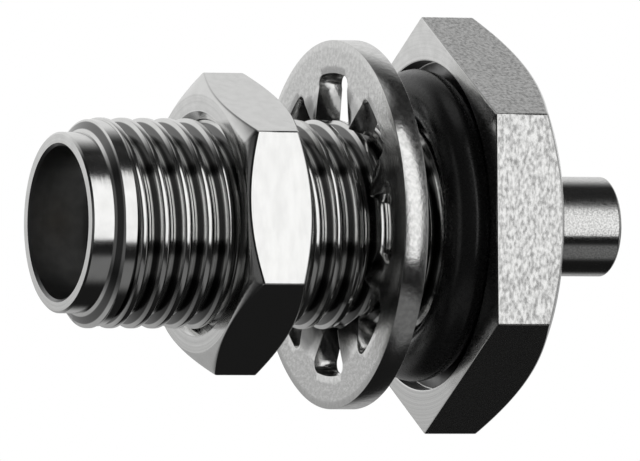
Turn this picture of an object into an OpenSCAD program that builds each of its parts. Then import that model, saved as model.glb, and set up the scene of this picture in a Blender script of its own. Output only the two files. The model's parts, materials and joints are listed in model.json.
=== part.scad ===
// SMA bulkhead jack with panel nut, toothed lock washer and face seal.
// The connector's axis is X. The mouth opens towards -X, +Z is up, and the
// origin is the centre of the flange face that seats against the panel.
// The nut and the washer stand part of the way up the thread, as supplied.
// The fine thread is shown as a plain cylinder at its major diameter.

/* [Barrel] */
// From the panel seat to the mouth
barrel_length = 12; // [11:0.1:16]
// Major diameter of the outside thread
thread_diameter = 6.35; // [6:0.05:6.4]
// Plain collar in front of the thread, outside diameter
collar_diameter = 5.46; // [5.1:0.02:5.7]
// Plain collar in front of the thread, length
collar_length = 0.7; // [0.4:0.05:1.2]
// Length of the cone from the collar up to the thread
thread_lead = 0.25; // [0.15:0.05:0.6]
// Bevel on the outer edge of the mouth
mouth_bevel = 0.06; // [0.02:0.01:0.12]

/* [Mating socket] */
// Bore that takes the plug's sleeve, diameter
socket_diameter = 4.64; // [4.4:0.02:4.8]
// Mouth to the reference plane, where the plug's sleeve stops
socket_depth = 1.95; // [1.6:0.05:2.4]
// Bevel at the bore's mouth
socket_bevel = 0.08; // [0.02:0.01:0.12]

/* [Hex flange] */
// Across the flats
flange_flats = 11; // [10.6:0.1:13]
// Panel seat to the rear face
flange_thickness = 2.3; // [1.8:0.1:3.2]
// Angle of the top corner, clockwise as seen from the mouth
flange_turn = -1; // [-30:1:30]
// Circle on the rear face where its corner chamfer starts
flange_chamfer_diameter = 10.7; // [9.6:0.1:10.8]
// Slope of the corner chamfers of the flange and the nut
chamfer_angle = 30; // [20:1:40]
// Room round the seal in its recess in the panel seat
recess_margin = 0.25; // [0.1:0.05:0.3]
// Recess for the seal, depth
recess_depth = 0.5; // [0.3:0.05:0.9]

/* [Seal] */
// Thickness of the O-ring
seal_section = 1.5; // [1.2:0.05:1.6]
// Radial clearance between the O-ring and the thread
seal_clearance = 0.075; // [0.025:0.025:0.1]

/* [Lock washer] */
// Width of the rim, outside the gaps between the teeth
rim_width = 1; // [0.6:0.05:1.6]
// Sheet thickness
washer_thickness = 0.75; // [0.5:0.05:1]
// Length of the teeth
tooth_length = 1.35; // [1:0.05:1.6]
// Radial clearance between the tips of the teeth and the thread
tooth_clearance = 0.075; // [0.025:0.025:0.2]
// Number of teeth
tooth_count = 8; // [5:1:9]
// Width of a tooth where it leaves the rim
tooth_root_width = 1.25; // [0.9:0.05:1.35]
// Width of a tooth at its tip
tooth_tip_width = 0.95; // [0.6:0.05:1.1]
// Twist of a tooth from the rim to its tip
tooth_twist = 20; // [5:1:24]
// Radius in the corners of the gaps
gap_fillet = 0.35; // [0.15:0.05:0.5]
// Angle of the first tooth, clockwise as seen from the mouth
washer_turn = 25; // [0:1:45]
// Front of the seal to the rear of the washer
washer_gap = 1.28; // [0.3:0.02:1.6]

/* [Hex nut] */
// Across the flats
nut_flats = 8; // [7.8:0.1:10]
// Overall length
nut_length = 2.15; // [1.6:0.05:3]
// Angle of the top corner, clockwise as seen from the mouth
nut_turn = -6; // [-30:1:30]
// Circle on each end face where the corner chamfer starts
nut_chamfer_diameter = 7.8; // [7.2:0.1:7.8]
// Depth of the countersink at each end of the bore
nut_countersink = 0.175; // [0.1:0.025:0.3]
// Front of the washer to the rear of the nut
nut_gap = 2.28; // [1:0.02:3]
// Radial clearance between the nut and the thread
nut_clearance = 0.05; // [0.02:0.01:0.1]

/* [Insulators] */
// Outside diameter of both insulators
insulator_diameter = 4.1; // [3.8:0.05:4.2]
// Length of the front insulator, from the reference plane
front_insulator_length = 6.5; // [5:0.1:7.5]
// Bevel on the outer edges of the insulators
insulator_bevel = 0.08; // [0.02:0.01:0.2]
// Clearance all round a piece that is fixed in another
seat_clearance = 0.01; // [0.005:0.005:0.02]

/* [Centre contact] */
// Outside diameter
contact_diameter = 1.27; // [1.15:0.01:1.4]
// Bore that takes the plug's pin
pin_bore = 0.94; // [0.8:0.01:0.98]
// Depth of the pin bore
pin_bore_depth = 2.7; // [2.2:0.1:3.2]
// Width of the slots between the spring fingers
slot_width = 0.15; // [0.08:0.01:0.24]
// Length of the slots
slot_length = 2; // [1.2:0.1:2.4]
// Number of slots right across the contact
slot_cuts = 2; // [1:1:3]
// Tip of the contact behind the reference plane
contact_recess = 0.05; // [0.02:0.01:0.2]
// Bevel on the tip and on the solder end
contact_bevel = 0.08; // [0.02:0.01:0.12]
// Shoulder held between the insulators, diameter
shoulder_diameter = 1.9; // [1.6:0.05:2.6]
// Shoulder held between the insulators, length
shoulder_length = 0.5; // [0.3:0.05:0.9]
// Solder cup for the cable's inner conductor, bore
cup_bore = 0.6; // [0.5:0.02:0.9]
// Solder cup, depth
cup_depth = 1.5; // [1:0.1:1.6]
// Filling hole in the side of the solder cup, diameter
cup_hole = 0.45; // [0.3:0.05:0.5]
// Solder end in front of the rear insulator's rear face
cup_setback = 0.3; // [0.1:0.05:0.5]

/* [Cable ferrule] */
// Outside diameter
ferrule_diameter = 3.04; // [2.8:0.02:3.3]
// Length behind the flange
ferrule_projection = 3.7; // [2.6:0.1:6]
// Length held in the flange
ferrule_seat = 3.1; // [2.6:0.1:3.6]
// Bore for the cable's outer conductor
cable_bore = 2.26; // [2.1:0.02:2.4]
// Lip that stops the outer conductor, bore
lip_bore = 1.72; // [1.5:0.02:1.9]
// Lip that stops the outer conductor, length
lip_length = 0.5; // [0.3:0.05:0.9]
// Bevel on both edges of the cable entry
entry_bevel = 0.08; // [0.02:0.01:0.14]

/* [Hidden] */

// How far a cut runs past the face it opens
past = 0.5;
// Full angle of a drill point
drill_point = 118;
// Faces on large and on small circles
large_round = 96;
small_round = 48;
// Steps in the twist of a tooth
twist_steps = 8;
// Overlap that joins a tooth to the rim, or takes a chamfer's cone past a corner
overlap = 0.1;
chamfer_slope = tan(chamfer_angle);

thread_radius = thread_diameter / 2;

// Circles that follow from the thread
seal_bore = thread_diameter + 2 * seal_clearance;
recess_diameter = seal_bore + 2 * seal_section + 2 * recess_margin;
tooth_bore = thread_diameter + 2 * tooth_clearance;
gap_root_diameter = tooth_bore + 2 * tooth_length;
washer_diameter = gap_root_diameter + 2 * rim_width;

// Places along the axis
mouth_x = -barrel_length;
plane_x = mouth_x + socket_depth;
shelf_x = flange_thickness - ferrule_seat;
joint_x = plane_x + front_insulator_length;
contact_tip_x = plane_x + contact_recess;
contact_end_x = shelf_x - cup_setback;
ferrule_end_x = flange_thickness + ferrule_projection;
seal_x = recess_depth - seal_section / 2 - seat_clearance;
washer_rear_x = seal_x - seal_section / 2 - washer_gap;
washer_front_x = washer_rear_x - washer_thickness;
nut_rear_x = washer_front_x - nut_gap;
nut_front_x = nut_rear_x - nut_length;

// Turns a profile drawn as [radius, place along the axis] round the X axis.
module turned(points, faces = large_round) {
    rotate([0, 90, 0])
        rotate_extrude($fn = faces)
            polygon(points);
}

// Round bar or hole between two places on the axis.
module rod(diameter, from_x, to_x, faces = large_round) {
    translate([from_x, 0, 0])
        rotate([0, 90, 0])
            cylinder(d = diameter, h = to_x - from_x, $fn = faces);
}

// Cone between two places on the axis.
module cone(from_diameter, to_diameter, from_x, to_x, faces = large_round) {
    translate([from_x, 0, 0])
        rotate([0, 90, 0])
            cylinder(d1 = from_diameter, d2 = to_diameter, h = to_x - from_x, $fn = faces);
}

// Hexagonal bar with a corner at the top, turned clockwise as seen from the mouth.
module hex_bar(flats, from_x, to_x, turn) {
    rotate([turn, 0, 0])
        translate([from_x, 0, 0])
            rotate([0, 90, 0])
                cylinder(d = flats / cos(30), h = to_x - from_x, $fn = 6);
}

function corner_radius(flats) = flats / 2 / cos(30);

// Radius at which the cone of a corner chamfer ends, just outside the corners.
function cone_radius(flats) = corner_radius(flats) + overlap;

// How far a chamfer's cone runs back from this circle to where it ends.
function cone_depth(flats, diameter) = (cone_radius(flats) - diameter / 2) * chamfer_slope;

// Outside of the barrel: collar, lead-in cone and thread diameter.
module barrel() {
    collar_radius = collar_diameter / 2;
    turned([
        [0, mouth_x],
        [collar_radius - mouth_bevel, mouth_x],
        [collar_radius, mouth_x + mouth_bevel],
        [collar_radius, mouth_x + collar_length],
        [thread_radius, mouth_x + collar_length + thread_lead],
        [thread_radius, flange_thickness / 2],
        [0, flange_thickness / 2]
    ]);
}

// Hexagon with a sharp front edge, chamfered rear corners and a recess in its
// front that holds the seal.
module flange() {
    outer = cone_radius(flange_flats);
    difference() {
        intersection() {
            hex_bar(flange_flats, 0, flange_thickness, flange_turn);
            turned([
                [0, 0],
                [outer, 0],
                [outer, flange_thickness - cone_depth(flange_flats, flange_chamfer_diameter)],
                [flange_chamfer_diameter / 2, flange_thickness],
                [0, flange_thickness]
            ]);
        }
        rod(recess_diameter, -past, recess_depth);
    }
}

// Stepped bore: plug socket, insulator bore and ferrule bore.
module through_bore() {
    rod(socket_diameter, mouth_x - past, plane_x);
    cone(socket_diameter + 2 * (socket_bevel + past), socket_diameter,
         mouth_x - past, mouth_x + socket_bevel);
    rod(insulator_diameter + 2 * seat_clearance, plane_x - past, shelf_x);
    rod(ferrule_diameter + 2 * seat_clearance, shelf_x - past, flange_thickness + past);
}

module body() {
    color("silver")
        difference() {
            union() {
                barrel();
                flange();
            }
            through_bore();
        }
}

// Nut with both ends chamfered and its bore countersunk at both ends.
module hex_nut() {
    outer = cone_radius(nut_flats);
    depth = cone_depth(nut_flats, nut_chamfer_diameter);
    bore = thread_diameter + 2 * nut_clearance;
    mouth = bore + 2 * (nut_countersink + past);
    color("gainsboro")
        difference() {
            intersection() {
                hex_bar(nut_flats, nut_front_x, nut_rear_x, nut_turn);
                turned([
                    [0, nut_front_x],
                    [nut_chamfer_diameter / 2, nut_front_x],
                    [outer, nut_front_x + depth],
                    [outer, nut_rear_x - depth],
                    [nut_chamfer_diameter / 2, nut_rear_x],
                    [0, nut_rear_x]
                ]);
            }
            rod(bore, nut_front_x - past, nut_rear_x + past);
            cone(mouth, bore, nut_front_x - past, nut_front_x + nut_countersink);
            cone(bore, mouth, nut_rear_x - nut_countersink, nut_rear_x + past);
        }
}

// Flat root of a tooth, blended into the rim by a fillet on each side.
module tooth_root() {
    root_radius = gap_root_diameter / 2;
    half = tooth_root_width / 2 + gap_fillet;
    linear_extrude(height = washer_thickness)
        difference() {
            translate([-half, root_radius - gap_fillet])
                square([2 * half, gap_fillet + overlap]);
            for (side = [-1, 1])
                translate([side * half, root_radius - gap_fillet])
                    circle(r = gap_fillet, $fn = small_round);
        }
}

// Twisted blade from the flat root of a tooth to its tip.
module tooth_blade() {
    tip_radius = tooth_bore / 2 - overlap;
    blade_length = gap_root_diameter / 2 - gap_fillet + overlap - tip_radius;
    translate([0, tip_radius, washer_thickness / 2])
        rotate([-90, 0, 0])
            linear_extrude(height = blade_length, twist = -tooth_twist, slices = twist_steps,
                           scale = [tooth_root_width / tooth_tip_width, 1])
                rotate(-tooth_twist)
                    square([tooth_tip_width, washer_thickness], center = true);
}

// Toothed lock washer, drawn flat with its first tooth on +Y and then stood up.
module lock_washer() {
    color("lightgray")
        translate([washer_front_x, 0, 0])
            rotate([washer_turn, 0, 0])
                rotate([90, 0, 90])
                    difference() {
                        union() {
                            difference() {
                                cylinder(d = washer_diameter, h = washer_thickness, $fn = large_round);
                                translate([0, 0, -past])
                                    cylinder(d = gap_root_diameter, h = washer_thickness + 2 * past,
                                             $fn = large_round);
                            }
                            for (tooth = [0 : tooth_count - 1])
                                rotate(tooth * 360 / tooth_count) {
                                    tooth_root();
                                    tooth_blade();
                                }
                        }
                        translate([0, 0, -washer_thickness])
                            cylinder(d = tooth_bore, h = 3 * washer_thickness, $fn = large_round);
                    }
}

module o_ring() {
    color([0.12, 0.12, 0.12])
        translate([seal_x, 0, 0])
            rotate([0, 90, 0])
                rotate_extrude($fn = large_round)
                    translate([(seal_bore + seal_section) / 2, 0])
                        circle(d = seal_section, $fn = small_round);
}

// Insulating bush between two places on the axis, with bevelled outer edges.
module bush(from_x, to_x) {
    radius = insulator_diameter / 2;
    difference() {
        turned([
            [0, from_x],
            [radius - insulator_bevel, from_x],
            [radius, from_x + insulator_bevel],
            [radius, to_x - insulator_bevel],
            [radius - insulator_bevel, to_x],
            [0, to_x]
        ]);
        rod(contact_diameter + 2 * seat_clearance, from_x - past, to_x + past, small_round);
    }
}

// Front insulator, counterbored behind for the contact's shoulder.
module front_insulator() {
    color("white")
        difference() {
            bush(plane_x + seat_clearance, joint_x);
            rod(shoulder_diameter + 2 * seat_clearance, joint_x - shoulder_length - seat_clearance,
                joint_x + past, small_round);
        }
}

module rear_insulator() {
    color("whitesmoke")
        bush(joint_x + seat_clearance, shelf_x - seat_clearance);
}

// Slotted socket in front, shoulder in the middle, solder cup behind.
module centre_contact() {
    radius = contact_diameter / 2;
    pin_radius = pin_bore / 2;
    cup_radius = cup_bore / 2;
    pin_floor_x = contact_tip_x + pin_bore_depth;
    cup_floor_x = contact_end_x - cup_depth;
    lead = min(contact_bevel, (radius - pin_radius) / 2);
    tip_slope = tan(drill_point / 2);
    color("gold")
        difference() {
            union() {
                turned([
                    [0, contact_tip_x],
                    [radius - lead, contact_tip_x],
                    [radius, contact_tip_x + lead],
                    [radius, contact_end_x - contact_bevel],
                    [radius - contact_bevel, contact_end_x],
                    [0, contact_end_x]
                ], small_round);
                rod(shoulder_diameter, joint_x - shoulder_length, joint_x, small_round);
            }
            turned([
                [0, contact_tip_x - past],
                [pin_radius + lead, contact_tip_x - past],
                [pin_radius + lead, contact_tip_x],
                [pin_radius, contact_tip_x + lead],
                [pin_radius, pin_floor_x],
                [0, pin_floor_x + pin_radius / tip_slope]
            ], small_round);
            turned([
                [0, contact_end_x + past],
                [cup_radius, contact_end_x + past],
                [cup_radius, cup_floor_x],
                [0, cup_floor_x - cup_radius / tip_slope]
            ], small_round);
            for (cut = [0 : slot_cuts - 1])
                rotate([(cut + 0.5) * 180 / slot_cuts, 0, 0])
                    translate([contact_tip_x - past, -contact_diameter, -slot_width / 2])
                        cube([slot_length + past, 2 * contact_diameter, slot_width]);
            translate([(cup_floor_x + contact_end_x) / 2, 0, 0])
                cylinder(d = cup_hole, h = contact_diameter, $fn = small_round);
        }
}

// Sleeve soldered over the cable's outer conductor, with a stop lip in front.
module cable_ferrule() {
    radius = ferrule_diameter / 2;
    cable_radius = cable_bore / 2;
    front_x = shelf_x + seat_clearance;
    color("lightgray")
        turned([
            [lip_bore / 2, front_x],
            [radius, front_x],
            [radius, ferrule_end_x - entry_bevel],
            [radius - entry_bevel, ferrule_end_x],
            [cable_radius + entry_bevel, ferrule_end_x],
            [cable_radius, ferrule_end_x - entry_bevel],
            [cable_radius, front_x + lip_length],
            [lip_bore / 2, front_x + lip_length]
        ]);
}

body();
hex_nut();
lock_washer();
o_ring();
front_insulator();
rear_insulator();
centre_contact();
cable_ferrule();
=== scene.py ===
"""Looks of a threaded coaxial bulkhead jack, modelled round its CAD frame.

Sizes are in metres. The connector's axis is X, its mouth opens towards -X, +Z is up
and the flange seats against the panel at x = 0. Each piece is modelled in the place
of its CAD node, and moves with the node's body.
"""

import json
import math

import bpy
from bpy.props import FloatProperty, FloatVectorProperty, IntProperty, PointerProperty
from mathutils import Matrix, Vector


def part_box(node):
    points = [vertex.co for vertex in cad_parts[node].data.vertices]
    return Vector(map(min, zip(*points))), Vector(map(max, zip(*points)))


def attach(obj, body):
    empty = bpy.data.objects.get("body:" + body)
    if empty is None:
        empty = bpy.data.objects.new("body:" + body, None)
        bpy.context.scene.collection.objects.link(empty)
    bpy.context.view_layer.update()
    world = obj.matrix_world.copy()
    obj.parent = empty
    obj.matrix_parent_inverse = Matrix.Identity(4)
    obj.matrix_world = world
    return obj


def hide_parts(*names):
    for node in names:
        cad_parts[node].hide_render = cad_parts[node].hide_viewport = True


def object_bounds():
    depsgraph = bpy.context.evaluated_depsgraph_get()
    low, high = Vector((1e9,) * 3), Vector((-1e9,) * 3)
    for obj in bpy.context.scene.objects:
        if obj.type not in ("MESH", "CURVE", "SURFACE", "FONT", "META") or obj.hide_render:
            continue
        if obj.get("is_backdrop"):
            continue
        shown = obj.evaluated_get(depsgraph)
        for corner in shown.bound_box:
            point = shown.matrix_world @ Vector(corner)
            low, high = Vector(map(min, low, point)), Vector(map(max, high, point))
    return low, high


bl_info = {
    "name": "Coaxial bulkhead jack",
    "version": (1, 0, 0),
    "blender": (4, 5, 0),
    "location": "3D View > Sidebar > Connector",
    "description": "Models a threaded bulkhead jack with its nut, lock washer, seal and ferrule",
    "category": "Object",
}

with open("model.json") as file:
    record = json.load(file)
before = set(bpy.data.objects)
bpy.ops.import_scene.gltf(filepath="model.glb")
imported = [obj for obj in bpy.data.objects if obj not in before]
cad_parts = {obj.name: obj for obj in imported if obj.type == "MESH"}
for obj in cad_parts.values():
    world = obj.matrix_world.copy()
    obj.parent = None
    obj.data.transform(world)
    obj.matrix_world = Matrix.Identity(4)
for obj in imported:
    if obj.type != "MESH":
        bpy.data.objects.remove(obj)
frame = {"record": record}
CAD_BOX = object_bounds()

MM = 0.001
# Steps round the axis, for most pieces, for the slim contact and for the washer's rim
STEPS = 144
CONTACT_STEPS = 96
RIM_STEPS = 240
# Points round the seal's section
SEAL_STEPS = 48
# Segments in the rounding of a thread's crest and root
THREAD_ROUND = 3
# Rows of quads across the washer's rim, round the fillet of a tooth and along its blade
RIM_ROWS = 4
FILLET_ROWS = 6
TOOTH_ROWS = 10
# Half the angle that one side of a hexagon takes, and slope of a thread's flanks
HALF_SIDE = math.radians(30)
FLANK = math.radians(30)
# How far a cutting tool runs past the face it opens
PAST = 0.5 * MM
# How far a trim stands off the corners that it leaves alone, and slack on a radius
CLEAR = PAST / 5
# Points closer than this are one point
SAME = 0.0005 * MM
# Points closer than this to a circle lie on it; also the size left at a drill's point
NEAR = 4 * SAME
# Slope of a face along the axis below which it counts as a side of the hexagon
SIDE_SLOPE = 0.05
# Extra ring this far from a rounded end keeps the wall beside it straight in the light
SUPPORT = 0.05 * MM
# How far the corners of a piece's box may be from those of its CAD node's box
FIT = 0.15 * MM


def mount_radius(name):
    """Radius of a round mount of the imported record."""
    mount = next(m for m in frame["record"]["mounts"] if m["name"] == name)
    return mount["dims"]["r_mm"] * MM


def span(node):
    """Where a CAD node starts and ends along the connector's axis."""
    low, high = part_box(node)
    return low.x, high.x


def across_flats(node, turn):
    """Width across the flats of a hexagon whose top corner is turned by this angle."""
    return 2 * math.cos(HALF_SIDE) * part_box(node)[1].z / math.cos(turn)


def corner_radius(flats):
    """Distance from the axis to the corners of a hexagon."""
    return flats / 2 / math.cos(HALF_SIDE)


# ---------------------------------------------------------------- modelling tools


def clear_selection():
    """Leaves edit mode and selects nothing."""
    if bpy.context.mode != "OBJECT":
        bpy.ops.object.mode_set(mode="OBJECT")
    bpy.ops.object.select_all(action="DESELECT")


def activate(piece):
    """Makes a piece the only selected object, and the active one."""
    clear_selection()
    piece.select_set(True)
    bpy.context.view_layer.objects.active = piece


def edit(piece, kind="VERT"):
    """Opens a piece in edit mode with nothing selected."""
    activate(piece)
    bpy.ops.object.mode_set(mode="EDIT")
    bpy.ops.mesh.select_mode(type=kind)
    bpy.ops.mesh.select_all(action="DESELECT")


def select_where(piece, test, kind="vertices"):
    """Selects the vertices, edges or faces that pass a test, and returns to edit mode."""
    bpy.ops.object.mode_set(mode="OBJECT")
    for element in getattr(piece.data, kind):
        element.select = test(element)
    bpy.ops.object.mode_set(mode="EDIT")


def outward(piece):
    """Merges doubles and turns every face outwards."""
    edit(piece)
    bpy.ops.mesh.select_all(action="SELECT")
    bpy.ops.mesh.remove_doubles(threshold=SAME)
    bpy.ops.mesh.normals_make_consistent(inside=False)
    bpy.ops.object.mode_set(mode="OBJECT")


def apply(piece, kind, **values):
    """Adds a modifier with these values and applies it."""
    activate(piece)
    bpy.ops.object.modifier_add(type=kind)
    modifier = piece.modifiers[-1]
    for key, value in values.items():
        setattr(modifier, key, value)
    bpy.ops.object.modifier_apply(modifier=modifier.name)


def combine(piece, tool, operation):
    """Joins, cuts or trims a piece with a tool, and throws the tool away."""
    apply(piece, "BOOLEAN", operation=operation, object=tool, solver="EXACT")
    bpy.data.objects.remove(tool)


def turn_about_x(piece, turn):
    """Turns a piece about the connector's axis for good."""
    piece.rotation_euler.x = turn
    activate(piece)
    bpy.ops.object.transform_apply()


def start_point(name, place, radius):
    """Starts a piece as one selected vertex, a triangle of this radius merged at its
    centre, and stays in edit mode."""
    clear_selection()
    bpy.ops.mesh.primitive_circle_add(vertices=3, radius=radius, location=place)
    bpy.ops.object.transform_apply()
    piece = bpy.context.object
    piece.name = name
    bpy.ops.object.mode_set(mode="EDIT")
    bpy.ops.mesh.select_mode(type="VERT")
    bpy.ops.mesh.select_all(action="SELECT")
    bpy.ops.mesh.merge(type="CENTER")
    return piece


def lathe_extrude(outline, start):
    """Extrudes the selected ring through (radius, x) points, from a start point."""
    radius, x = start
    for next_radius, next_x in outline:
        bpy.ops.mesh.extrude_edges_move(TRANSFORM_OT_translate={"value": (next_x - x, 0, 0)})
        grow = next_radius / radius
        bpy.ops.transform.resize(value=(1, grow, grow), center_override=(next_x, 0, 0))
        radius, x = next_radius, next_x


def turned(name, outline, steps=STEPS, hollow=True):
    """Lathe work on the X axis: a hollow piece closes on its first point, a bar is capped."""
    clear_selection()
    radius, x = outline[0]
    bpy.ops.mesh.primitive_circle_add(
        vertices=steps, radius=radius, location=(x, 0, 0), rotation=(0, math.pi / 2, 0)
    )
    bpy.ops.object.transform_apply()
    piece = bpy.context.object
    piece.name = name
    bpy.ops.object.mode_set(mode="EDIT")
    bpy.ops.mesh.select_mode(type="EDGE")
    bpy.ops.mesh.select_all(action="SELECT")
    lathe_extrude(outline[1:] + ([outline[0]] if hollow else []), outline[0])
    if not hollow:
        bpy.ops.mesh.select_all(action="SELECT")
        bpy.ops.mesh.fill_holes(sides=0)
    outward(piece)
    return piece


def threaded_bar(name, sizes, start_x, end_x):
    """Closed bar with a right-hand thread that is crest up at start_x, given
    sizes = (major radius, root radius, width of the crest, pitch, rounding)."""
    major, root, crest, pitch, rounding = sizes
    run = (major - root) * math.tan(FLANK)
    moves = [
        (crest / 2, 0),
        (run, root - major),
        (pitch - crest - 2 * run, 0),
        (run, major - root),
        (crest / 2, 0),
    ]
    bar = start_point(name, (start_x, 0, major), pitch)
    for along, up in moves:
        bpy.ops.mesh.extrude_vertices_move(TRANSFORM_OT_translate={"value": (along, 0, up)})
    ends = (start_x + SAME, start_x + pitch - SAME)
    select_where(bar, lambda v: ends[0] < v.co.x < ends[1])
    bpy.ops.mesh.bevel(
        affect="VERTICES", offset=rounding, segments=THREAD_ROUND, offset_type="OFFSET"
    )
    bpy.ops.object.mode_set(mode="OBJECT")
    apply(
        bar, "SCREW", axis="X", angle=math.tau, screw_offset=pitch,
        iterations=math.ceil((end_x - start_x) / pitch),
        steps=STEPS, render_steps=STEPS, use_normal_calculate=True,
    )
    outward(bar)
    edit(bar)
    bpy.ops.mesh.select_non_manifold()
    bpy.ops.mesh.fill_holes(sides=0)
    bpy.ops.mesh.select_all(action="DESELECT")
    select_where(bar, lambda f: len(f.vertices) > 4, "polygons")
    bpy.ops.mesh.poke()
    outward(bar)
    return bar


def hexagon(name, flats, ends, turn, outline):
    """Hexagonal bar with a corner up, turned about X and trimmed to a turned outline."""
    clear_selection()
    bpy.ops.mesh.primitive_cylinder_add(
        vertices=6, radius=corner_radius(flats), depth=ends[1] - ends[0],
        location=((ends[0] + ends[1]) / 2, 0, 0), rotation=(0, math.pi / 2, 0),
    )
    bar = bpy.context.object
    bar.name = name
    bpy.ops.object.transform_apply()
    turn_about_x(bar, HALF_SIDE + turn)
    combine(bar, turned("trim", outline, hollow=False), "INTERSECT")
    return bar


def finish_edges(piece, width, segments=2, angle=35):
    """Breaks the sharp edges and lets the flats keep their own shading."""
    apply(
        piece, "BEVEL", width=width, segments=segments, limit_method="ANGLE",
        angle_limit=math.radians(angle), use_clamp_overlap=True, miter_outer="MITER_ARC",
    )
    outward(piece)


def shade(piece, angle=32):
    """Smooth shading with sharp edges kept, and flats that stay flat beside a bevel,
    because large faces outweigh the small ones round a vertex."""
    activate(piece)
    bpy.ops.object.shade_smooth_by_angle(angle=math.radians(angle))
    apply(
        piece, "WEIGHTED_NORMAL", mode="FACE_AREA", weight=100, keep_sharp=True, thresh=1e-10
    )


def settle(piece, body, node):
    """Puts a finished piece in place of its CAD node, on the node's body."""
    corners = [Vector(corner) for corner in piece.bound_box]
    gap = max((corners[0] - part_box(node)[0]).length, (corners[6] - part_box(node)[1]).length)
    if gap > FIT:
        raise RuntimeError(f"{piece.name} leaves {gap / MM:.3f} mm of the box of {node}")
    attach(piece, body)
    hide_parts(node)


# ---------------------------------------------------------------- sizes


def length(name, description, default):
    """A length that the user may change."""
    return FloatProperty(
        name=name, description=description, default=default, subtype="DISTANCE",
        unit="LENGTH", precision=6, min=0,
    )


def angle(name, description, degrees):
    """An angle that the user may change."""
    return FloatProperty(
        name=name, description=description, default=math.radians(degrees), subtype="ANGLE",
    )


def tint(name, description, color):
    """A colour that the user may change."""
    return FloatVectorProperty(
        name=name, description=description, default=color, subtype="COLOR", min=0, max=1
    )


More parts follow.
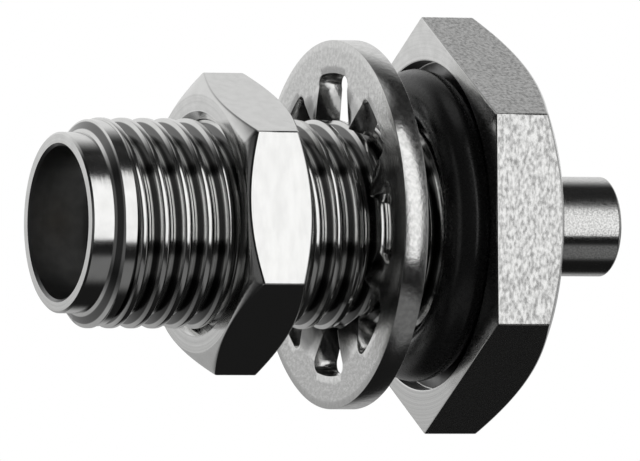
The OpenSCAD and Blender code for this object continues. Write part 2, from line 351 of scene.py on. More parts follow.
class ConnectorSizes(bpy.types.PropertyGroup):
    """Sizes that the CAD boxes and mounts don't give."""

    thread_pitch: length("Thread pitch", "Advance of the outside thread a turn", 25.4 * MM / 36)
    thread_depth: length("Thread depth", "From the crest to the root", 0.43 * MM)
    thread_crest: length("Thread crest", "Width of the flat on the crest", 0.15 * MM)
    thread_rounding: length("Thread rounding", "Rounding of crest and root", 0.022 * MM)
    thread_start: length("Thread start", "From the mouth to the first top crest", 1.337 * MM)
    run_in_length: length("Run-in length", "Land in front of the first turn", 0.59 * MM)
    run_in_depth: length("Run-in depth", "Land below the thread's crest", 0.06 * MM)
    tap_clearance: length("Tap clearance", "Gap between the two threads", 0.03 * MM)
    tap_relief: length("Tap relief", "How much shallower the nut's thread is", 0.1 * MM)
    collar_diameter: length("Collar diameter", "Plain collar at the mouth", 5.46 * MM)
    collar_length: length("Collar length", "Plain collar at the mouth", 0.7 * MM)
    lead_length: length("Lead length", "Cone from the collar to the thread", 0.25 * MM)
    rim_bevel: length("Rim bevel", "Outer bevel of the mouth", 0.06 * MM)
    socket_bevel: length("Socket bevel", "Bevel at the bore's mouth", 0.08 * MM)
    socket_depth: length("Socket depth", "From the mouth to the insulator", 1.95 * MM)
    flange_turn: angle("Flange turn", "Top corner of the flange, clockwise from the mouth", -1)
    flange_chamfer: length("Flange chamfer", "Circle where the rear chamfer starts", 10.7 * MM)
    recess_diameter: length("Recess diameter", "Seal recess in the panel seat", 10 * MM)
    recess_depth: length("Recess depth", "Seal recess in the panel seat", 0.5 * MM)
    nut_turn: angle("Nut turn", "Top corner of the nut, clockwise from the mouth", -6)
    nut_chamfer: length("Nut chamfer", "Circle where the end chamfers start", 7.8 * MM)
    nut_countersink: length("Nut countersink", "Outside diameter of the countersinks", 6.8 * MM)
    chamfer_slope: angle("Chamfer slope", "Slope of the corner chamfers", 30)
    edge_break: length("Edge break", "Broken edge of the hexagons", 0.05 * MM)
    washer_turn: angle("Washer turn", "First tooth, clockwise from the mouth", 25)
    washer_thickness: length("Washer thickness", "Thickness of the sheet", 0.75 * MM)
    rim_width: length("Rim width", "Rim of the washer outside the gaps", 1 * MM)
    teeth: IntProperty(name="Teeth", description="Teeth of the washer", default=8, min=5, max=9)
    tooth_root: length("Tooth root", "Width of a tooth at the rim", 1.25 * MM)
    tooth_tip: length("Tooth tip", "Width of a tooth at its tip", 0.95 * MM)
    tooth_clearance: length("Tooth clearance", "Gap between the teeth and the thread", 0.08 * MM)
    tooth_twist: angle("Tooth twist", "Twist of a tooth from the rim to its tip", 20)
    gap_fillet: length("Gap fillet", "Radius in the corners of the gaps", 0.35 * MM)
    washer_edge: length("Washer edge", "Rounded edges of the stamping", 0.04 * MM)
    mould_flash: length("Mould flash", "Raised line left by the seal's mould", 0.012 * MM)
    contact_bore: length("Contact bore", "Radius of the insulators' bore", 0.645 * MM)
    contact_clearance: length("Contact clearance", "Gap round the contact", 0.01 * MM)
    shoulder_length: length("Shoulder length", "Shoulder held between the insulators", 0.51 * MM)
    insulator_bevel: length("Insulator bevel", "Bevels of the insulators", 0.08 * MM)
    pin_depth: length("Pin depth", "Depth of the plug pin's bore", 2.7 * MM)
    solder_cup: length("Solder cup", "Diameter of the solder cup", 0.6 * MM)
    cup_depth: length("Cup depth", "Depth of the solder cup", 1.5 * MM)
    cup_hole: length("Cup hole", "Filling hole of the solder cup", 0.45 * MM)
    drill_point: angle("Drill point", "Slope of the floor of a drilled hole", 31)
    slot_length: length("Slot length", "Slots between the spring fingers", 2 * MM)
    slot_width: length("Slot width", "Slots between the spring fingers", 0.15 * MM)
    ferrule_lip: length("Ferrule lip", "Diameter of the lip that stops the cable", 1.72 * MM)
    lip_length: length("Lip length", "Lip that stops the cable", 0.5 * MM)
    entry_bevel: length("Entry bevel", "Bevels of the cable entry", 0.08 * MM)
    fine_edge: length("Fine edge", "Broken edges of the ferrule and the contact", 0.02 * MM)
    steel: tint("Steel", "Shell and nut", (0.8, 0.8, 0.79))
    # Dark tint of the bore and the seal's recess: painted shade where the metal lies in shadow
    painted_bore_shade_tint: tint("Bore steel", "Bore and seal recess of the shell", (0.3, 0.3, 0.3))
    washer_steel: tint("Washer steel", "Lock washer", (0.76, 0.76, 0.75))
    ferrule_steel: tint("Ferrule steel", "Cable ferrule", (0.74, 0.74, 0.73))
    rubber: tint("Rubber", "Seal", (0.012, 0.012, 0.012))
    insulator: tint("Insulator", "Both insulators", (0.85, 0.85, 0.83))
    gold: tint("Gold", "Centre contact", (0.86, 0.66, 0.3))


# ---------------------------------------------------------------- materials


def add_node(tree, kind, values=None, **settings):
    """Adds a shader node; a value that is a socket is linked, and any other is set."""
    node = tree.nodes.new(kind)
    for key, value in settings.items():
        setattr(node, key, value)
    for key, value in (values or {}).items():
        if isinstance(value, bpy.types.NodeSocket):
            tree.links.new(value, node.inputs[key])
        else:
            node.inputs[key].default_value = value
    return node


def calculate(tree, operation, *values):
    """Adds a Math node and gives its result."""
    node = add_node(tree, "ShaderNodeMath", dict(enumerate(values)), operation=operation)
    return node.outputs[0]


def ramp(tree, value, low, high, to_low=0.0, to_high=1.0):
    """Smooth step of a value from one range to another."""
    values = {
        "Value": value, "From Min": low, "From Max": high, "To Min": to_low, "To Max": to_high
    }
    node = add_node(tree, "ShaderNodeMapRange", values, interpolation_type="SMOOTHSTEP")
    return node.outputs["Result"]


def new_group(name, inputs, output):
    """Starts a shader node group with named float inputs and one float output."""
    group = bpy.data.node_groups.new(name, "ShaderNodeTree")
    for socket, default in inputs.items():
        kind = "NodeSocketVector" if isinstance(default, tuple) else "NodeSocketFloat"
        item = group.interface.new_socket(socket, in_out="INPUT", socket_type=kind)
        item.default_value = default
    group.interface.new_socket(output, in_out="OUTPUT", socket_type="NodeSocketFloat")
    return group, group.nodes.new("NodeGroupInput"), group.nodes.new("NodeGroupOutput")


def polar(tree):
    """Place along the X axis and distance from it."""
    place = add_node(tree, "ShaderNodeTexCoord").outputs["Object"]
    parts = add_node(tree, "ShaderNodeSeparateXYZ", {0: place})
    out = calculate(tree, "POWER", parts.outputs["Y"], 2)
    up = calculate(tree, "POWER", parts.outputs["Z"], 2)
    return parts.outputs["X"], calculate(tree, "SQRT", calculate(tree, "ADD", out, up))


def lathe_rings():
    """Group: fine rings left by a lathe tool, round the X axis."""
    group, given, result = new_group("lathe_rings", {"Spacing": 0.05 * MM}, "Height")
    along, radius = polar(group)
    across = calculate(group, "DIVIDE", radius, given.outputs["Spacing"])
    along = calculate(group, "DIVIDE", along, given.outputs["Spacing"])
    flat = add_node(group, "ShaderNodeCombineXYZ", {"X": across, "Y": along})
    # The plane is measured in spacings, and a cell of the noise is two of them wide
    noise = add_node(
        group, "ShaderNodeTexNoise", {"Vector": flat.outputs[0], "Scale": 0.5, "Detail": 2},
        noise_dimensions="2D",
    )
    group.links.new(noise.outputs["Fac"], result.inputs["Height"])
    return group


def groove_grime():
    """Group: painted shade between two distances from the X axis, as on the flanks of a thread
    between its root and its crest.
    """
    group, given, result = new_group(
        "groove_grime", {"Root": 2.7 * MM, "Crest": 3.2 * MM, "Blend": 0.05 * MM}, "Grime"
    )
    radius = polar(group)[1]
    blend = given.outputs["Blend"]
    root, crest = given.outputs["Root"], given.outputs["Crest"]
    inside = ramp(group, radius, root, calculate(group, "ADD", root, blend))
    outside = ramp(group, radius, calculate(group, "SUBTRACT", crest, blend), crest, 1.0, 0.0)
    grime = calculate(group, "MULTIPLY", inside, outside)
    group.links.new(grime, result.inputs["Grime"])
    return group


def mottle():
    """Group: patchy grain of a milled or blasted surface."""
    inputs = {"Size": 0.12 * MM, "Stretch": (1.0, 1.0, 1.0), "Softness": 0.5, "Level": 0.5}
    group, given, result = new_group("mottle", inputs, "Shade")
    place = add_node(group, "ShaderNodeTexCoord").outputs["Object"]
    stretched = add_node(
        group, "ShaderNodeVectorMath", {0: place, 1: given.outputs["Stretch"]}, operation="DIVIDE"
    )
    scale = calculate(group, "DIVIDE", 1, given.outputs["Size"])
    noise = add_node(
        group, "ShaderNodeTexNoise", {"Vector": stretched.outputs[0], "Scale": scale, "Detail": 3},
    )
    # The wider the step from dark to light round the level, the softer the patches
    half_step = 0.3
    spread = calculate(group, "MULTIPLY", given.outputs["Softness"], half_step)
    low = calculate(group, "SUBTRACT", given.outputs["Level"], spread)
    high = calculate(group, "ADD", given.outputs["Level"], spread)
    shade = ramp(group, noise.outputs["Fac"], low, high)
    group.links.new(shade, result.inputs["Shade"])
    return group


def use_group(tree, name, values):
    """Places a shared group, built on first use, and gives its output."""
    builders = {"lathe_rings": lathe_rings, "mottle": mottle, "groove_grime": groove_grime}
    group = bpy.data.node_groups.get(name) or builders[name]()
    return add_node(tree, "ShaderNodeGroup", values, node_tree=group).outputs[0]


def mixed(tree, factor, start, end):
    """Colour between two colours, each a socket or three numbers."""
    colors = [c if isinstance(c, bpy.types.NodeSocket) else (*c, 1) for c in (start, end)]
    values = {"Factor_Float": factor, "A_Color": colors[0], "B_Color": colors[1]}
    node = tree.nodes.new("ShaderNodeMix")
    node.data_type = "RGBA"
    for socket in node.inputs:
        value = values.get(socket.identifier)
        if isinstance(value, bpy.types.NodeSocket):
            tree.links.new(value, socket)
        elif value is not None:
            socket.default_value = value
    return next(s for s in node.outputs if s.identifier == "Result_Color")


def surface(name, color, look):
    """Material of one finish, from an entry of LOOKS and the colour of its light patches."""
    material = bpy.data.materials.new(name)
    material.use_nodes = True
    tree = material.node_tree
    shader = tree.nodes["Principled BSDF"]
    shader.inputs["Metallic"].default_value = look.get("metallic", 1.0)
    shade = use_group(
        tree, "mottle",
        {
            "Size": look["grain"], "Stretch": look.get("stretch", (1, 1, 1)),
            "Softness": look["softness"], "Level": look.get("level", 0.5),
        },
    )
    base = mixed(tree, shade, [part * look["dark"] for part in color], color)
    # Painted shade: the colour darkens between two distances from the axis, in the grooves of a
    # thread and on a washer's inner teeth
    if look.get("grime"):
        grime = use_group(tree, "groove_grime", look["grime"])
        base = mixed(tree, grime, base, [part * look["painted_shade_dark"] for part in color])
    tree.links.new(base, shader.inputs["Base Color"])
    smooth, rough = look["roughness"]
    tree.links.new(ramp(tree, shade, 0, 1, rough, smooth), shader.inputs["Roughness"])
    height = calculate(tree, "MULTIPLY", shade, look["grain_depth"] / MM)
    if look.get("ring_depth"):
        rings = use_group(tree, "lathe_rings", {"Spacing": look["ring_spacing"]})
        height = calculate(
            tree, "ADD", height, calculate(tree, "MULTIPLY", rings, look["ring_depth"] / MM)
        )
    bump = add_node(tree, "ShaderNodeBump", {"Height": height, "Strength": 1, "Distance": MM})
    tree.links.new(bump.outputs[0], shader.inputs["Normal"])
    return material


# Each look has the size (grain), stretch, softness and level of its patches, and the
# colour of the dark ones as a share of the light (dark). Its roughness is that of the
# light and of the dark patches. It has the depth of its grain and of its lathe rings,
# and may have painted shade between two distances from the axis, Root and Crest, that fades over
# Blend at both and darkens the colour to a share of it, given with the shade.
LOOKS = {
    "turned_metal": dict(
        grain=0.5 * MM, softness=1.6, dark=0.9, roughness=(0.12, 0.18), grain_depth=0.0,
        # Painted shade darkens the thread's flanks between its root and its crest
        ring_depth=0.001 * MM, ring_spacing=0.06 * MM, painted_shade_dark=0.2,
        grime={"Root": 2.81 * MM, "Crest": 3.07 * MM, "Blend": 0.04 * MM},
    ),
    # Bore and seal recess; their dark tint is painted shade
    "bored_metal": dict(
        grain=0.4 * MM, softness=1.2, dark=0.8, roughness=(0.3, 0.4), grain_depth=0.0,
        ring_depth=0.002 * MM, ring_spacing=0.06 * MM,
    ),
    "flange_flats": dict(
        grain=0.1 * MM, stretch=(1, 1, 1.8), softness=0.9, level=0.45, dark=0.46,
        roughness=(0.2, 0.3), grain_depth=0.0008 * MM,
    ),
    "nut_flats": dict(
        grain=0.3 * MM, stretch=(1, 1, 3), softness=1.2, dark=0.95, roughness=(0.14, 0.2),
        grain_depth=0.001 * MM,
    ),
    "stamped_metal": dict(
        grain=0.16 * MM, softness=0.9, dark=0.86, roughness=(0.15, 0.22), grain_depth=0.0015 * MM,
        # Painted shade darkens the inner teeth towards the thread
        painted_shade_dark=0.5, grime={"Root": 2.9 * MM, "Crest": 4.3 * MM, "Blend": 0.4 * MM},
    ),
    "matt_metal": dict(
        grain=0.05 * MM, softness=0.8, dark=0.68, roughness=(0.12, 0.2), grain_depth=0.0003 * MM,
    ),
    "rubber": dict(
        metallic=0.0, grain=0.12 * MM, softness=1.2, dark=0.6, roughness=(0.2, 0.32),
        grain_depth=0.0006 * MM,
    ),
    "insulator": dict(
        metallic=0.0, grain=0.3 * MM, softness=1.5, dark=0.95, roughness=(0.4, 0.55),
        grain_depth=0.0, ring_depth=0.002 * MM, ring_spacing=0.08 * MM,
    ),
    "gold": dict(
        grain=0.2 * MM, softness=1.5, dark=0.92, roughness=(0.16, 0.24), grain_depth=0.0,
        ring_depth=0.001 * MM, ring_spacing=0.05 * MM,
    ),
}


def finish_of(look, color):
    """The one material of a finish, made on first use."""
    return bpy.data.materials.get(look) or surface(look, tuple(color), LOOKS[look])


def coat(piece, look, color, test=None):
    """Gives a finish to a whole piece, or to those of its faces that pass a test."""
    piece.data.materials.append(finish_of(look, color))
    if test is None:
        return
    edit(piece, "FACE")
    select_where(piece, test, "polygons")
    piece.active_material_index = len(piece.data.materials) - 1
    bpy.ops.object.material_slot_assign()
    bpy.ops.object.mode_set(mode="OBJECT")


# ---------------------------------------------------------------- pieces


def thread_sizes(sizes, clearance=0.0, depth_change=0.0):
    """Sizes of the outside thread, or of the tap that leaves clearance round it."""
    major = mount_radius("coupling_thread")
    wider = 2 * clearance * (1 - math.tan(FLANK))
    return (
        major + clearance,
        major - sizes.thread_depth + depth_change,
        sizes.thread_crest + wider,
        sizes.thread_pitch,
        sizes.thread_rounding,
    )


def first_crest(sizes, before_x):
    """Place of the last crest at the top that is a full turn or more in front of before_x."""
    crest = span("body")[0] + sizes.thread_start
    turns = math.ceil((crest + sizes.thread_pitch + PAST / 2 - before_x) / sizes.thread_pitch)
    return crest - turns * sizes.thread_pitch


def barrel(sizes):
    """Threaded barrel with its plain collar and lead-in cone, without its bore. It ends
    inside the flange."""
    mouth = span("body")[0]
    major = mount_radius("coupling_thread")
    collar = sizes.collar_diameter / 2
    slope = (major - collar) / sizes.lead_length
    cone_x = mouth + sizes.collar_length
    outside = major + PAST / 2
    end = span("body")[1] / 2
    outline = [
        (collar - sizes.rim_bevel, mouth),
        (collar, mouth + sizes.rim_bevel),
        (collar, cone_x),
        (outside, cone_x + (outside - collar) / slope),
        (outside, end),
    ]
    bar = threaded_bar("barrel", thread_sizes(sizes), first_crest(sizes, mouth), end + PAST)
    # The first turn starts in a land that stands almost as high as the crest
    core, land = major - sizes.thread_depth - PAST, major - sizes.run_in_depth
    land_end = cone_x + sizes.run_in_length
    ring = [
        (core, cone_x - PAST),
        (land, cone_x - PAST),
        (land, land_end),
        (core, land_end + land - core),
    ]
    combine(bar, turned("land", ring, hollow=False), "UNION")
    combine(bar, turned("blank", outline, hollow=False), "INTERSECT")
    return bar


def corner_chamfer(sizes, flats, circle):
    """Radius that clears a hexagon's corners, radius of the circle where their chamfer
    starts, and length of the chamfer along the axis."""
    outside = corner_radius(flats) + CLEAR
    start = circle / 2
    return outside, start, (outside - start) * math.tan(sizes.chamfer_slope)


def flange(sizes):
    """Hexagonal flange with chamfered corners and the recess for the seal."""
    rear = span("body")[1]
    flats = across_flats("body", sizes.flange_turn)
    outside, chamfer, run = corner_chamfer(sizes, flats, sizes.flange_chamfer)
    outline = [(outside, -PAST), (outside, rear - run), (chamfer, rear)]
    piece = hexagon("flange", flats, (0, rear), sizes.flange_turn, outline)
    recess = sizes.recess_diameter / 2
    tool = turned("recess", [(recess, -PAST), (recess, sizes.recess_depth)], hollow=False)
    combine(piece, tool, "DIFFERENCE")
    finish_edges(piece, sizes.edge_break)
    return piece


def stepped_bore(sizes):
    """Tool for the bore: plug socket, insulator bore and ferrule bore."""
    mouth, rear = span("body")
    socket = mount_radius("mating_socket")
    plane = mouth + sizes.socket_depth
    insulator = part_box("front_insulator")[1].z
    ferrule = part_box("cable_ferrule")[1].z
    shelf = span("cable_ferrule")[0]
    flare = sizes.socket_bevel + PAST
    outline = [
        (socket + flare, mouth - PAST),
        (socket, mouth + sizes.socket_bevel),
        (socket, plane),
        (insulator, plane),
        (insulator, shelf),
        (ferrule, shelf),
        (ferrule, rear + PAST),
    ]
    return turned("bore", outline, hollow=False)


def is_flat(face, inner_radius):
    """True for a face of a hexagon's side: outside this radius and square to X."""
    centre = face.center
    return math.hypot(centre.y, centre.z) > inner_radius and abs(face.normal.x) < SIDE_SLOPE


def is_bored(face, sizes):
    """True for a face of the bore, or of the recess that holds the seal."""
    centre, normal = face.center, face.normal
    radius = math.hypot(centre.y, centre.z)
    inward = centre.y * normal.y + centre.z * normal.z < -radius / 2
    bore = mount_radius("mating_socket") + sizes.socket_bevel / 2
    recess = sizes.recess_diameter / 2 - CLEAR < radius and centre.x > 0
    floor = abs(centre.x - sizes.recess_depth) < SAME and radius < sizes.recess_diameter / 2
    return inward and (radius < bore or recess) or floor


class CONNECTOR_OT_shell(bpy.types.Operator):
    """Turns and threads the shell, with its hexagonal flange, in one piece"""

    bl_idname = "connector.shell"
    bl_label = "Threaded shell"

    def execute(self, context):
        sizes = context.scene.connector_sizes
        shell = barrel(sizes)
        combine(shell, flange(sizes), "UNION")
        combine(shell, stepped_bore(sizes), "DIFFERENCE")
        shell.name = "threaded_shell"
        outward(shell)
        shade(shell)
        coat(shell, "turned_metal", sizes.steel)
        seat = sizes.recess_diameter / 2
        coat(shell, "flange_flats", sizes.steel, lambda f: is_flat(f, seat))
        # The bore and the seal's recess get a dark tint, which is painted shade
        coat(shell, "bored_metal", sizes.painted_bore_shade_tint, lambda f: is_bored(f, sizes))
        settle(shell, "shell", "body")
        return {"FINISHED"}


class CONNECTOR_OT_panel_nut(bpy.types.Operator):
    """Makes the hexagonal panel nut and taps its thread"""

    bl_idname = "connector.panel_nut"
    bl_label = "Panel nut"

    def execute(self, context):
        sizes = context.scene.connector_sizes
        front, rear = span("hex_nut")
        flats = across_flats("hex_nut", sizes.nut_turn)
        outside, chamfer, run = corner_chamfer(sizes, flats, sizes.nut_chamfer)
        outline = [
            (chamfer, front),
            (outside, front + run),
            (outside, rear - run),
            (chamfer, rear),
        ]
        nut = hexagon("panel_nut", flats, (front, rear), sizes.nut_turn, outline)
        finish_edges(nut, sizes.edge_break)
        tap = thread_sizes(sizes, sizes.tap_clearance, sizes.tap_relief)
        drill = tap[1]
        sink = sizes.nut_countersink / 2
        outline = [
            (sink + PAST, front - PAST),
            (drill, front + sink - drill),
            (drill, rear - sink + drill),
            (sink + PAST, rear + PAST),
        ]
        combine(nut, turned("drill", outline, hollow=False), "DIFFERENCE")
        end = rear + sizes.thread_pitch + PAST
        tool = threaded_bar("tap", tap, first_crest(sizes, front), end)
        combine(nut, tool, "DIFFERENCE")
        outward(nut)
        shade(nut)
        coat(nut, "turned_metal", sizes.steel)
        coat(nut, "nut_flats", sizes.steel, lambda f: is_flat(f, sizes.nut_countersink / 2))
        settle(nut, "nut", "hex_nut")
        return {"FINISHED"}


def tooth_rows(sizes, root_radius, tip_radius):
    """Radius, half width and twist of each row of a tooth, from the rim to its tip."""
    fillet = sizes.gap_fillet
    for row in range(1, FILLET_ROWS + 1):
        turn = row / FILLET_ROWS * math.pi / 2
        half = sizes.tooth_root / 2 + fillet * (1 - math.sin(turn))
        yield root_radius - fillet * (1 - math.cos(turn)), half, 0
    straight = root_radius - fillet - tip_radius
    for row in range(1, TOOTH_ROWS + 1):
        share = row / TOOTH_ROWS
        half = (sizes.tooth_root + (sizes.tooth_tip - sizes.tooth_root) * share) / 2
        yield root_radius - fillet - straight * share, half, sizes.tooth_twist * share


def rim_sector(sizes, middle, root):
    """One tooth's share of the washer's rim, as a flat sheet with its middle on +Z."""
    sector = math.tau / sizes.teeth
    # An edge from the gap's root to the outside, spun round X
    washer = start_point("toothed_washer", (middle, 0, root), root / 10)
    for _ in range(RIM_ROWS):
        bpy.ops.mesh.extrude_vertices_move(
            TRANSFORM_OT_translate={"value": (0, 0, sizes.rim_width / RIM_ROWS)}
        )
    bpy.ops.mesh.select_all(action="SELECT")
    bpy.ops.mesh.spin(
        steps=round(RIM_STEPS / sizes.teeth), angle=sector, center=(0, 0, 0), axis=(1, 0, 0)
    )
    bpy.ops.object.mode_set(mode="OBJECT")
    low = min(v.co.y for v in washer.data.vertices)
    high = max(v.co.y for v in washer.data.vertices)
    turn_about_x(washer, math.copysign(sector / 2, low + high))
    outward(washer)
    return washer


def grow_tooth(washer, sizes, middle, root, tip):
    """Extrudes a twisted tooth from the rim's inner edge towards the axis, and stays
    in edit mode."""
    base = sizes.tooth_root / 2 + sizes.gap_fillet

    def under_tooth(edge):
        ends = [washer.data.vertices[i].co for i in edge.vertices]
        reach = max(abs(math.hypot(p.y, p.z) - root) for p in ends)
        return reach < NEAR and max(abs(p.y) for p in ends) < base + SAME

    edit(washer, "EDGE")
    select_where(washer, under_tooth, "edges")
    bpy.ops.object.mode_set(mode="OBJECT")
    width = max(abs(v.co.y) for v in washer.data.vertices if v.select)
    bpy.ops.object.mode_set(mode="EDIT")
    radius, twist = root, 0
    for next_radius, half, next_twist in tooth_rows(sizes, root, tip):
        bpy.ops.mesh.extrude_edges_move(
            TRANSFORM_OT_translate={"value": (0, 0, next_radius - radius)}
        )
        # An arc's height goes with its half width squared over its radius
        flatter = half**2 / next_radius / (width**2 / radius)
        centre = (middle, 0, next_radius)
        bpy.ops.transform.resize(value=(1, half / width, flatter), center_override=centre)
        if next_twist != twist:
            bpy.ops.transform.rotate(
                value=next_twist - twist, orient_axis="Z", center_override=centre
            )
        radius, width, twist = next_radius, half, next_twist


class CONNECTOR_OT_lock_washer(bpy.types.Operator):
    """Stamps the lock washer and twists its inside teeth"""

    bl_idname = "connector.lock_washer"
    bl_label = "Lock washer"

    def execute(self, context):
        sizes = context.scene.connector_sizes
        front, rear = span("lock_washer")
        middle = (front + rear) / 2
        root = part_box("lock_washer")[1].z - sizes.rim_width
        tip = mount_radius("coupling_thread") + sizes.tooth_clearance
        washer = rim_sector(sizes, middle, root)
        grow_tooth(washer, sizes, middle, root, tip)
        bpy.ops.mesh.select_all(action="SELECT")
        bpy.ops.mesh.spin(
            steps=sizes.teeth, angle=math.tau, center=(0, 0, 0), axis=(1, 0, 0), dupli=True
        )
        bpy.ops.object.mode_set(mode="OBJECT")
        turn_about_x(washer, sizes.washer_turn)
        outward(washer)
        apply(washer, "SOLIDIFY", thickness=sizes.washer_thickness, offset=0, use_even_offset=True)
        finish_edges(washer, sizes.washer_edge, segments=3, angle=40)
        shade(washer)
        coat(washer, "stamped_metal", sizes.washer_steel)
        settle(washer, "washer", "lock_washer")
        return {"FINISHED"}


class CONNECTOR_OT_seal(bpy.types.Operator):
    """Moulds the round seal, with the fine flash of its mould"""

    bl_idname = "connector.seal"
    bl_label = "Seal"

    def execute(self, context):
        sizes = context.scene.connector_sizes
        low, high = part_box("o_ring")
        section = (high.x - low.x) / 2
        middle_x = (low.x + high.x) / 2
        middle_radius = high.z - section
        outline = []
        for step in range(SEAL_STEPS):
            turn = math.tau * step / SEAL_STEPS
            swell = section + (sizes.mould_flash if step % (SEAL_STEPS // 2) == 0 else 0)
            radius = middle_radius + swell * math.cos(turn)
            outline.append((radius, middle_x + section * math.sin(turn)))
        seal = turned("seal_ring", outline)
        shade(seal, angle=60)
        coat(seal, "rubber", sizes.rubber)
        settle(seal, "shell", "o_ring")
        return {"FINISHED"}


class CONNECTOR_OT_ferrule(bpy.types.Operator):
    """Turns the ferrule that the cable is soldered in"""

    bl_idname = "connector.ferrule"
    bl_label = "Cable ferrule"

    def execute(self, context):
        sizes = context.scene.connector_sizes
        front, rear = span("cable_ferrule")
        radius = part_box("cable_ferrule")[1].z
        bore = mount_radius("cable_bore")
        lip = sizes.ferrule_lip / 2
        lip_end = front + sizes.lip_length
        bevel = sizes.entry_bevel
        ferrule = turned(
            "solder_ferrule",
            [
                (lip, front),
                (radius, front),
                (radius, front + SUPPORT),
                (radius, rear - bevel - SUPPORT),
                (radius, rear - bevel),
                (radius - bevel, rear),
                (bore + bevel, rear),
                (bore, rear - bevel),
                (bore, lip_end),
                (lip, lip_end),
            ],
        )
        finish_edges(ferrule, sizes.fine_edge, angle=20)
        shade(ferrule)
        coat(ferrule, "matt_metal", sizes.ferrule_steel)
        settle(ferrule, "shell", "cable_ferrule")
        return {"FINISHED"}


class CONNECTOR_OT_insulators(bpy.types.Operator):
    """Turns the two insulators, each with its bore for the contact"""

    bl_idname = "connector.insulators"
    bl_label = "Insulators"

    def execute(self, context):
        sizes = context.scene.connector_sizes
        for node in ("front_insulator", "rear_insulator"):
            front, rear = span(node)
            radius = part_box(node)[1].z
            outline = [(sizes.contact_bore, front), (radius, front), (radius, rear)]
            if node == "front_insulator":
                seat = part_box("centre_contact")[1].z + SAME
                seat_front = rear - sizes.shoulder_length
                outline += [(seat, rear), (seat, seat_front), (sizes.contact_bore, seat_front)]
            else:
                outline.append((sizes.contact_bore, rear))
            bush = turned(node.replace("insulator", "bush"), outline)
            finish_edges(bush, sizes.insulator_bevel, segments=3, angle=60)
            shade(bush)
            coat(bush, "insulator", sizes.insulator)
            settle(bush, "shell", node)
        return {"FINISHED"}


class CONNECTOR_OT_contact(bpy.types.Operator):
    """Turns the socket contact, drills both ends and slots its tip"""

    bl_idname = "connector.contact"
    bl_label = "Centre contact"

    def execute(self, context):
        sizes = context.scene.connector_sizes
        tip, end = span("centre_contact")
        radius = sizes.contact_bore - sizes.contact_clearance
        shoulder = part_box("centre_contact")[1].z
        shoulder_end = span("front_insulator")[1]
        shoulder_front = shoulder_end - sizes.shoulder_length
        pin = mount_radius("contact_socket")
        cup = sizes.solder_cup / 2
        pin_floor, cup_floor = tip + sizes.pin_depth, end - sizes.cup_depth
        slope = math.tan(sizes.drill_point)
        contact = turned(
            "socket_contact",
            [
                (pin, tip),
                (radius, tip),
                (radius, shoulder_front),
                (shoulder, shoulder_front),
                (shoulder, shoulder_end),
                (radius, shoulder_end),
                (radius, end),
                (cup, end),
                (cup, cup_floor),
                (NEAR, cup_floor - cup * slope),
                (NEAR, pin_floor + pin * slope),
                (pin, pin_floor),
            ],
            CONTACT_STEPS,
        )
        # Two cuts right across make the four slots
        for turn in (math.pi / 4, -math.pi / 4):
            clear_selection()
            middle = tip + sizes.slot_length / 2 - PAST
            bpy.ops.mesh.primitive_cube_add(size=1, location=(middle, 0, 0))
            slot = bpy.context.object
            slot.scale = (sizes.slot_length + 2 * PAST, 4 * radius, sizes.slot_width)
            slot.rotation_euler.x = turn
            bpy.ops.object.transform_apply()
            combine(contact, slot, "DIFFERENCE")
        clear_selection()
        bpy.ops.mesh.primitive_cylinder_add(
            vertices=CONTACT_STEPS // 2, radius=sizes.cup_hole / 2, depth=2 * radius,
            location=((cup_floor + end) / 2, 0, radius),
        )
        combine(contact, bpy.context.object, "DIFFERENCE")
        finish_edges(contact, sizes.fine_edge, angle=50)
        shade(contact)
        coat(contact, "gold", sizes.gold)
        settle(contact, "shell", "centre_contact")
        return {"FINISHED"}


# ---------------------------------------------------------------- stage


def towards(azimuth, elevation):
    """Direction out from the connector. Azimuth is in degrees from the camera's side,
    -Y, positive towards the cable end, and elevation in degrees from level."""
    turn, rise = math.radians(azimuth), math.radians(elevation)
    return Vector(
        (math.sin(turn) * math.cos(rise), -math.cos(turn) * math.cos(rise), math.sin(rise))
    )


def studio_world(context):
    """White backdrop for the camera, and for metal a dark studio with lit parts, of
    which the one behind the connector is the brightest."""
    world = bpy.data.worlds.new("studio")
    context.scene.world = world
    world.use_nodes = True
    tree = world.node_tree
    background = tree.nodes["Background"]
    direction = add_node(tree, "ShaderNodeTexCoord").outputs["Generated"]
    x, y, z = add_node(tree, "ShaderNodeSeparateXYZ", {0: direction}).outputs
    front = ramp(tree, y, -0.2, 0, 1, 0)
    # Radiance of each part of the studio, and the bands of directions that bound it
    parts = {
        "behind": (
            0.8,
            (
                ramp(tree, y, 0.15, 0.6),
                ramp(tree, x, -0.95, -0.6),
                ramp(tree, z, -0.7, -0.4),
                ramp(tree, z, 0.004, 0.026, 0.5, 1),
                ramp(tree, z, 0.6, 0.95, 1, 0.3),
            ),
        ),
        "low in front": (
            0.16, (front, ramp(tree, z, -0.95, -0.88), ramp(tree, z, -0.68, -0.6, 1, 0))
        ),
        "cable end": (0.55, (front, ramp(tree, x, 0.58, 0.72), ramp(tree, z, -0.6, -0.3))),
        "mouth end": (0.1, (ramp(tree, x, -0.86, -0.95),)),
        "overhead": (0.4, (ramp(tree, z, 0.93, 0.98),)),
    }
    studio = 0.012
    for radiance, bands in parts.values():
        share = radiance
        for band in bands:
            share = calculate(tree, "MULTIPLY", band, share)
        studio = calculate(tree, "ADD", share, studio)
    path = add_node(tree, "ShaderNodeLightPath").outputs
    seen = calculate(tree, "MAXIMUM", path["Is Glossy Ray"], path["Is Transmission Ray"])
    # Light that isn't mirrored is weak at the mouth's end and strong at the cable's
    unseen = calculate(tree, "SUBTRACT", 1, seen)
    fill = calculate(tree, "MULTIPLY", unseen, ramp(tree, x, -0.8, 0.2, 0.12, 0.7))
    strength = calculate(tree, "MULTIPLY_ADD", studio, seen, fill)
    strength = calculate(tree, "MAXIMUM", strength, path["Is Camera Ray"])
    tree.links.new(strength, background.inputs["Strength"])
    background.inputs["Color"].default_value = (1, 1, 1, 1)


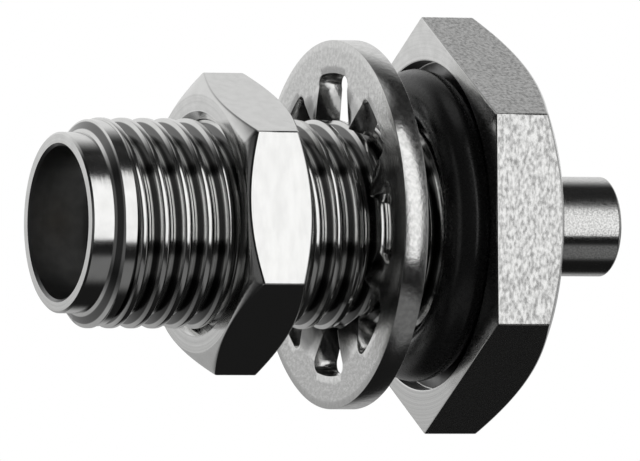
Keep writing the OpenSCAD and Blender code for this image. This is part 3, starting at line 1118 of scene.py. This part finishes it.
def softbox(name, azimuth, elevation, distance, size, radiance):
    """Rectangular lamp that faces the connector."""
    out = towards(azimuth, elevation)
    clear_selection()
    bpy.ops.object.light_add(type="AREA", location=out * distance)
    lamp = bpy.context.object
    lamp.name = name
    lamp.rotation_euler = out.to_track_quat("Z", "Y").to_euler()
    lamp.data.shape = "RECTANGLE"
    lamp.data.size, lamp.data.size_y = size
    lamp.data.energy = radiance * math.pi * size[0] * size[1]


def pale_floor(height, half):
    """Plain floor under the connector. Its pale colour isn't mirrored in the metal."""
    glow = 0.4
    clear_selection()
    bpy.ops.mesh.primitive_grid_add(
        x_subdivisions=8, y_subdivisions=8, size=2 * half, location=(0, 0, height)
    )
    floor = bpy.context.object
    floor.name = "floor"
    bpy.ops.object.transform_apply()
    look = dict(
        metallic=0.0, grain=20 * MM, softness=1.5, dark=0.98, roughness=(0.8, 0.9), grain_depth=0.0
    )
    paint = surface("floor_paint", (0.82, 0.82, 0.82), look)
    # The camera sees the floor paler than the dim fill would leave it, shadow and all
    shader = paint.node_tree.nodes["Principled BSDF"]
    shader.inputs["Emission Color"].default_value = (1, 1, 1, 1)
    camera = add_node(paint.node_tree, "ShaderNodeLightPath").outputs["Is Camera Ray"]
    shown = calculate(paint.node_tree, "MULTIPLY", camera, glow)
    paint.node_tree.links.new(shown, shader.inputs["Emission Strength"])
    floor.data.materials.append(paint)
    floor.visible_glossy = False
    floor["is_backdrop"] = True


def studio_camera(context):
    """Camera at the connector's left, level with it and far off, with a long lens."""
    distance, view_width = 450 * MM, 19.39 * MM
    target = Vector((-3.4 * MM, 0, -0.18 * MM))
    back = towards(-23.6, -1.0)
    bpy.ops.object.camera_add(location=target + back * distance)
    camera = bpy.context.object
    camera.rotation_euler = (-back).to_track_quat("-Z", "Y").to_euler()
    camera.data.sensor_width = 36
    camera.data.lens = camera.data.sensor_width * distance / view_width
    camera.data.clip_start = 10 * MM
    context.scene.camera = camera


class CONNECTOR_OT_stage(bpy.types.Operator):
    """Sets the floor, the lamps, the world and the camera"""

    bl_idname = "connector.stage"
    bl_label = "Stage"

    def execute(self, context):
        studio_world(context)
        softbox(
            "key", azimuth=20.6, elevation=18, distance=0.25, size=(0.09, 0.4), radiance=1.2
        )
        pale_floor(height=-30 * MM, half=1.0)
        studio_camera(context)
        context.scene.view_settings.view_transform = "Standard"
        return {"FINISHED"}


OPERATORS = (
    CONNECTOR_OT_shell,
    CONNECTOR_OT_panel_nut,
    CONNECTOR_OT_lock_washer,
    CONNECTOR_OT_seal,
    CONNECTOR_OT_ferrule,
    CONNECTOR_OT_insulators,
    CONNECTOR_OT_contact,
    CONNECTOR_OT_stage,
)


class CONNECTOR_PT_pieces(bpy.types.Panel):
    """Lists the pieces of the connector"""

    bl_label = "Bulkhead jack"
    bl_idname = "CONNECTOR_PT_pieces"
    bl_space_type = "VIEW_3D"
    bl_region_type = "UI"
    bl_category = "Connector"

    def draw(self, context):
        for operator in OPERATORS:
            self.layout.operator(operator.bl_idname)


CLASSES = (ConnectorSizes, *OPERATORS, CONNECTOR_PT_pieces)


def register():
    for cls in CLASSES:
        bpy.utils.register_class(cls)
    bpy.types.Scene.connector_sizes = PointerProperty(type=ConnectorSizes)


def unregister():
    del bpy.types.Scene.connector_sizes
    for cls in reversed(CLASSES):
        bpy.utils.unregister_class(cls)


def main():
    """Makes every piece and the stage."""
    register()
    for operator in OPERATORS:
        group, name = operator.bl_idname.split(".")
        getattr(getattr(bpy.ops, group), name)()
    boxes = {"cad": CAD_BOX, "visual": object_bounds()}
    boxes = {name: [list(corner) for corner in box] for name, box in boxes.items()}


if __name__ == "__main__":
    main()
